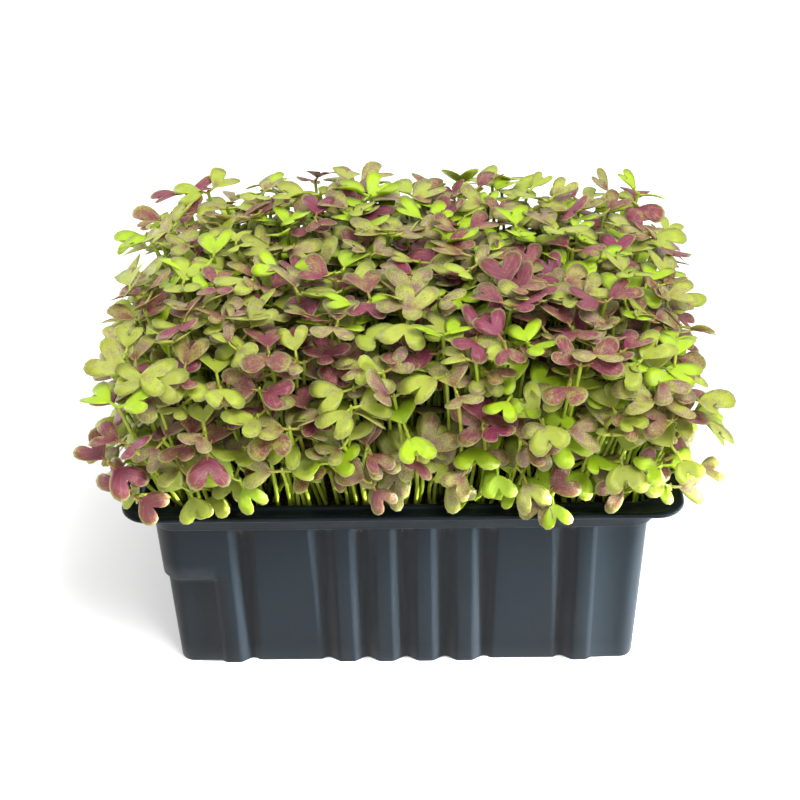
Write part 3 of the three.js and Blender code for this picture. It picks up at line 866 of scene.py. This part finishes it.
def leaf_template():
    """A leaf as a grid, across it in x and from foot to notch in y, with its underside at -1 in z."""
    bm = bmesh.new()
    bmesh.ops.create_grid(bm, x_segments=4, y_segments=len(LEAF_RIB) - 1, size=1)
    copy = bmesh.ops.duplicate(bm, geom=bm.verts[:] + bm.edges[:] + bm.faces[:])["geom"]
    under = [f for f in copy if isinstance(f, bmesh.types.BMFace)]
    for v in copy:
        if isinstance(v, bmesh.types.BMVert) and not v.is_boundary:
            v.co.z = -1
    bmesh.ops.reverse_faces(bm, faces=under)
    bmesh.ops.remove_doubles(bm, verts=bm.verts, dist=0.01)
    bm.verts.index_update()
    corners = np.array([v.co[:] for v in bm.verts])
    faces = np.array([[v.index for v in f.verts] for f in bm.faces])
    bm.free()
    return corners, faces


TEMPLATE, TEMPLATE_FACES = leaf_template()


def leaf_points(leaf, style):
    """The template laid on one leaf. style gives the lobes' sizes and the waves of the margin."""
    across = TEMPLATE[:, 0]
    row = (TEMPLATE[:, 1] + 1) / 2 * (len(LEAF_RIB) - 1)
    steps = np.arange(len(LEAF_RIB))
    rib = np.interp(row, steps, LEAF_RIB)
    edge_along = np.interp(row, steps, LEAF_MARGIN[:, 0])
    edge_across = np.interp(row, steps, LEAF_MARGIN[:, 1])
    share = abs(across)
    lobe = np.where(across > 0, style["lobes"][0], style["lobes"][1])
    along = rib + (edge_along * (0.85 + 0.15 * lobe) - rib) * share
    y = edge_across * share * np.sign(across) * lobe
    t = row / steps[-1]
    wave = np.sin(t * 7.5 + np.where(across > 0, style["phases"][0], style["phases"][1]))
    lift = share ** 2 * wave * style["wave"] * np.sin(np.pi * np.clip(t, 0, 1)) ** 0.5
    lift += TEMPLATE[:, 2] * LEAF_THICKNESS + share * share * style["cup"]
    return on_leaf(leaf, along, y, lift)


def tube(path, radii):
    """A closed tube round a path, as corners and faces."""
    path = np.asarray(path)
    heading = np.gradient(path, axis=0)
    heading /= np.linalg.norm(heading, axis=1)[:, None]
    aside = np.cross(heading, [0.31, 0.95, 0.05])
    aside /= np.linalg.norm(aside, axis=1)[:, None]
    other = np.cross(heading, aside)
    turns = np.arange(TUBE_SIDES) * 2 * math.pi / TUBE_SIDES
    ring = np.cos(turns)[None, :, None] * aside[:, None] + np.sin(turns)[None, :, None] * other[:, None]
    corners = (path[:, None] + ring * np.asarray(radii)[:, None, None]).reshape(-1, 3)
    faces = []
    for i in range(len(path) - 1):
        for j in range(TUBE_SIDES):
            a, b = i * TUBE_SIDES + j, i * TUBE_SIDES + (j + 1) % TUBE_SIDES
            faces.append((a, b, b + TUBE_SIDES, a + TUBE_SIDES))
    last = (len(path) - 1) * TUBE_SIDES
    faces.append(tuple(range(TUBE_SIDES))[::-1])
    faces.append(tuple(range(last, last + TUBE_SIDES)))
    return corners, faces


def leaf_style(between, variety, depth):
    """What differs from leaf to leaf, with its colour: flush of purple, share of lime, and lightness, which
    varies at random and is lowered by painted shade deep in the stand.
    """
    flush = {"olive": between(0.0, 0.7), "purple": between(0.45, 1.0), "lime": between(0.0, 0.12)}[variety]
    lime = {"olive": between(0.0, 0.35), "purple": between(0.0, 0.15), "lime": between(0.35, 1.0)}[variety]
    return {
        "lobes": (between(0.86, 1.04), between(0.86, 1.04)),
        "phases": (between(0, 6.3), between(0, 6.3)),
        "wave": between(0.1, 0.7),
        "cup": between(-0.6, 1.2),
        # The third channel is painted shade: lower for a leaf deeper below the canopy's top
        "tint": (flush, lime, between(0.8, 1.0) - 0.5 * depth, 1.0),
    }


def seedling_pieces(seedling, between, variety):
    """Corners, faces, tint, material and leaf coordinates of each part of one seedling."""
    head = seedling["head"]
    # Painted shade: how far in from the edge and how deep below the canopy's top a seedling stands darkens
    # its leaves and stem
    inside = 1 - smooth((max(abs(head[0]) / CANOPY_LENGTH, abs(head[1]) / CANOPY_WIDTH) * 2 - 0.7) / 0.3)
    depth = smooth((canopy_height(head[0], head[1]) - head[2] - 4) / 30) * (0.4 + 0.6 * inside)
    # The stem's tint, whose third channel is painted shade, darker towards the middle of the stand
    pale = (between(0, 0.15), between(0, 0.6), between(0.7, 1.0) - 0.6 * inside, 1.0)
    shares = [-0.02, 0.12, 0.3, 0.5, 0.7, 0.88, 1.0]
    path = np.vstack([stem_points(seedling, shares), head + [0, 0, 0.8], head + [0.1, 0, 1.5]])
    corners, faces = tube(path, [0.75, 0.72, 0.7, 0.66, 0.62, 0.6, 0.66, 0.5, 0.18])
    parts = [(corners, faces, pale, 1, None)]
    for leaf in seedling["leaves"]:
        style = leaf_style(between, variety, depth)
        uv = np.stack([(TEMPLATE[:, 0] + 1) / 2, (TEMPLATE[:, 1] + 1) / 2], -1)
        parts.append((leaf_points(leaf, style), TEMPLATE_FACES.tolist(), style["tint"], 0, uv))
        along = np.array([-0.16, 0.0, 0.14, 0.3, 0.48])
        rib = on_leaf(leaf, along, np.zeros(5), np.array([0.15, -0.05, -0.3, -0.36, -0.38]))
        start = head - (rib[0] - head) * 0.04
        path = np.vstack([start, (start + rib[0]) / 2 + [0, 0, 0.25], rib])
        corners, faces = tube(path, [0.5, 0.5, 0.48, 0.46, 0.34, 0.24, 0.1])
        parts.append((corners, faces, (style["tint"][0] * 0.8, style["tint"][1], 1.0, 1.0), 1, None))
    return parts


def make_seedlings(name, variety, seedlings, between, *nodes):
    """One piece from some seedlings, with leaf tissue and stem tissue."""
    corners, faces, tints, kinds, coordinates = [], [], [], [], []
    count = 0
    for seedling in seedlings:
        for points, ring, tint, kind, uv in seedling_pieces(seedling, between, variety):
            corners.append(points)
            for face in ring:
                faces.append([i + count for i in face])
                kinds.append(kind)
            tints.append(np.tile(tint, (len(points), 1)))
            coordinates.append(uv if uv is not None else np.zeros((len(points), 2)))
            count += len(points)
    corners = np.concatenate(corners) * MM
    mesh = bpy.data.meshes.new(name)
    mesh.from_pydata(corners.tolist(), [], faces)
    mesh.polygons.foreach_set("material_index", kinds)
    corner_of = np.empty(len(mesh.loops), dtype=np.int32)
    mesh.loops.foreach_get("vertex_index", corner_of)
    uv_layer = mesh.uv_layers.new(name="leaf")
    uv_layer.data.foreach_set("uv", np.concatenate(coordinates)[corner_of].astype(np.float32).ravel())
    tint_layer = mesh.color_attributes.new("tint", "FLOAT_COLOR", "POINT")
    tint_layer.data.foreach_set("color", np.concatenate(tints).astype(np.float32).ravel())
    mesh.validate()
    return finished(name, mesh, [LEAF_TISSUES[variety], STEM_TISSUE], "leaf_" + variety, *nodes)


def make_stand():
    """Every bunch in place of its plain solid, then the seedlings between them."""
    between = seeded(SEED + 2)
    bunches, stand = grow_bunches()
    for members, centre in zip(bunches, CENTRES):
        place = "_r%d_c%d" % (centre["row"] + 1, centre["column"] + 1)
        node = "seedlings_" + centre["variety"] + place
        make_seedlings("bunch_" + centre["variety"] + place, centre["variety"], members, between, node)
    sown = sow(stand)
    sorts = {"olive": [], "purple": [], "lime": []}
    for seedling in sown:
        pick = between(0, 1)
        sorts["olive" if pick < OLIVE_BELOW else "purple" if pick < PURPLE_BELOW else "lime"].append(seedling)
    for variety, members in sorts.items():
        half = (len(members) + 1) // 2
        for part in range(2):
            name = "seedlings_between_%s_%d" % (variety, part + 1)
            make_seedlings(name, variety, members[part * half:(part + 1) * half], between)


make_stand()


# Stage: a white sweep under a bright even sky, a soft key lamp from the front right, low lamps that graze
# the front wall so that its channels show, and a weak one from behind that shines through the leaves

def make_floor():
    """Matt white paper, which takes the tray's soft shadow."""
    bm = bmesh.new()
    bmesh.ops.create_grid(bm, x_segments=1, y_segments=1, size=3)
    mesh = bpy.data.meshes.new("studio_floor")
    bm.to_mesh(mesh)
    bm.free()
    floor = bpy.data.objects.new("studio_floor", mesh)
    bpy.context.collection.objects.link(floor)
    material, _ = new_material("white_paper", Base_Color=linear("#fafafa"), Roughness=0.9)
    mesh.materials.append(material)


def add_lamp(name, azimuth, elevation, distance, size, power, target=(0, 0, 80), spread=180):
    """A soft square lamp aimed at a point. Angles in degrees, azimuth 0 at the right and 90 at the back."""
    a, e = math.radians(azimuth), math.radians(elevation)
    away = Vector((math.cos(e) * math.cos(a), math.cos(e) * math.sin(a), math.sin(e)))
    data = bpy.data.lights.new(name, "AREA")
    data.shape = "SQUARE"
    data.size = size
    data.spread = math.radians(spread)
    data.energy = power
    lamp = bpy.data.objects.new(name, data)
    bpy.context.collection.objects.link(lamp)
    lamp.rotation_euler = away.to_track_quat("Z", "Y").to_euler()
    lamp.location = away * distance + Vector(target) * MM


def light_stage():
    world = bpy.data.worlds.new("studio")
    bpy.context.scene.world = world
    world.use_nodes = True
    world.node_tree.nodes["Background"].inputs["Color"].default_value = (1, 1, 1, 1)
    world.node_tree.nodes["Background"].inputs["Strength"].default_value = 1.05
    bpy.context.scene.view_settings.view_transform = "Standard"
    add_lamp("key", -52, 58, 1.2, 0.5, 14)
    for azimuth in (-3, -8, -13):
        add_lamp("wall_grazer", azimuth, 3, 1.1, 0.06, 0.34, target=(0, -62, 4), spread=8)
    add_lamp("left_rear", 152, 14, 0.9, 0.3, 3)


make_floor()
light_stage()
